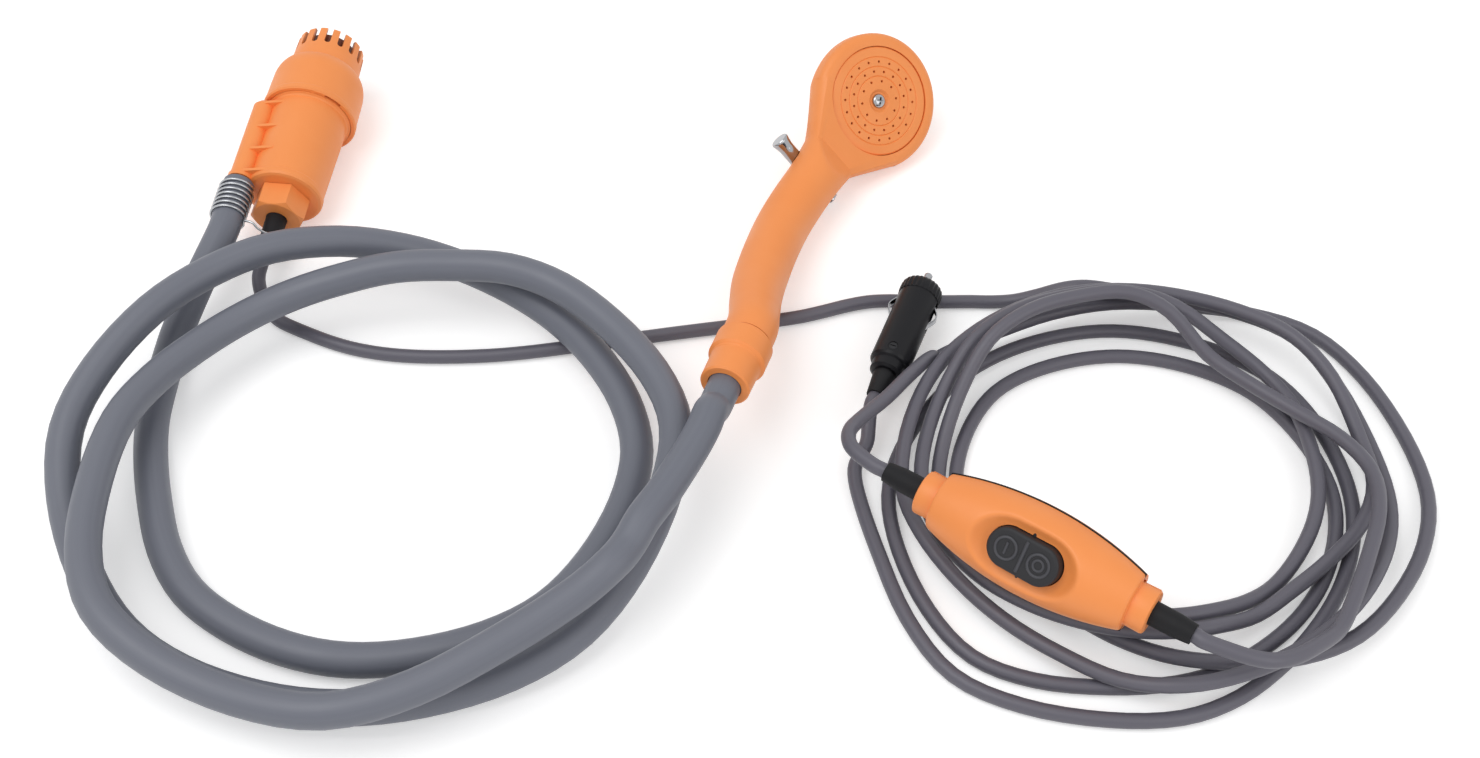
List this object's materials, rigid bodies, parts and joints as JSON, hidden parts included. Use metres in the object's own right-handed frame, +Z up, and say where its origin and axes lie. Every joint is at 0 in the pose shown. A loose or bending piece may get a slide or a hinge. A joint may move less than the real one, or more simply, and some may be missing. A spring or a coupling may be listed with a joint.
{
  "type": "camp shower pump set",
  "caption": "Battery-plug camp shower: submersible pump with a toothed strainer, hose to a hand shower with a push valve, and a coiled cable with an in-line rocker switch.",
  "frame": {"origin": "on the floor, under the middle of the box round the pump and the hand shower", "axes": "+Z up from the floor, +X from the pump towards the hand shower, +Y away from the coils"},
  "size_m": [0.6505, 0.4319, 0.063],
  "materials": {
    "shell_orange": "satin",
    "moulded_black": "satin",
    "rubber_black": "matt",
    "hose_slate": "satin",
    "cable_grey": "matt",
    "bright_chrome": "polished",
    "plain_steel": "brushed",
    "copper_alloy": "bright",
    "magnet_grey": "matt",
    "fuse_glass": "clear"
  },
  "bodies": {
    "set": {"pump_body": "shell_orange", "gland_nut": "shell_orange", "head_shell": "shell_orange", "spray_plate": "shell_orange", "hose_collar": "shell_orange", "switch_top": "shell_orange", "switch_base": "shell_orange", "chamber_plate": "moulded_black", "motor_end_cap": "moulded_black", "hose_nipple": "moulded_black", "switch_block": "moulded_black", "plug_body": "moulded_black", "plug_ring": "moulded_black", "cap_seal": "rubber_black", "motor_sleeve": "rubber_black", "shaft_seal": "rubber_black", "gland_seal": "rubber_black", "pump_sleeve": "rubber_black", "plate_seal": "rubber_black", "case_gasket": "rubber_black", "sleeve_left": "rubber_black", "sleeve_right": "rubber_black", "plug_sleeve": "rubber_black", "hose": "hose_slate", "pump_lead": "cable_grey", "cable_coil": "cable_grey", "plug_cable": "cable_grey", "plate_screw": "bright_chrome", "motor_can": "plain_steel", "rocker_pin": "plain_steel", "case_screws": "plain_steel", "plug_screw": "plain_steel", "tip_spring": "plain_steel", "binding_wire": "plain_steel", "brush_pair": "copper_alloy", "switch_terminals": "copper_alloy", "field_magnets": "magnet_grey"},
    "rotor": {"motor_shaft": "plain_steel", "armature_core": "plain_steel", "commutator": "copper_alloy", "impeller": "moulded_black"},
    "cap": {"strainer_cap": "shell_orange"},
    "valve": {"valve_stem": "bright_chrome", "push_button": "bright_chrome", "valve_rings": "rubber_black", "stem_clip": "bright_chrome"},
    "rocker": {"rocker": "rubber_black"},
    "plug_nose": {"plug_tip": "bright_chrome", "plug_fuse": "fuse_glass"},
    "left_leaf": {"contact_left": "bright_chrome"},
    "right_leaf": {"contact_right": "bright_chrome"}
  },
  "joints": [
    {"name": "rotor_spin", "type": "hinge", "parent": "set", "child": "rotor", "pos_m": [-0.15634, 0.06031, 0.02391], "axis": [0.1041, 0.9903, 0.0917], "continuous": true},
    {"name": "cap_twist", "type": "hinge", "parent": "set", "child": "cap", "pos_m": [-0.15321, 0.09002, 0.02667], "axis": [-0.1041, -0.9903, -0.0917], "range_deg": [0, 40]},
    {"name": "valve_push", "type": "slide", "parent": "set", "child": "valve", "axis": [0.6392, -0.2786, -0.7168], "range_m": [0, 0.006]},
    {"name": "rocker_tilt", "type": "hinge", "parent": "set", "child": "rocker", "pos_m": [0.20442, -0.22749, 0.04955], "axis": [0.3565, 0.5186, 0.7771], "range_deg": [0, 8]},
    {"name": "tip_press", "type": "slide", "parent": "set", "child": "plug_nose", "axis": [-0.3741, -0.9259, -0.0523], "range_m": [0, 0.003], "stiffness_N_per_m": 600, "springref_m": -0.004, "deforming": ["tip_spring"]},
    {"name": "left_leaf_press", "type": "slide", "parent": "set", "child": "left_leaf", "axis": [0.9272, -0.3746, 0], "range_m": [0, 0.001], "stiffness_N_per_m": 1500, "springref_m": -0.0005},
    {"name": "right_leaf_press", "type": "slide", "parent": "set", "child": "right_leaf", "axis": [-0.9272, 0.3746, 0], "range_m": [0, 0.001], "stiffness_N_per_m": 1500, "springref_m": -0.0005}
  ]
}
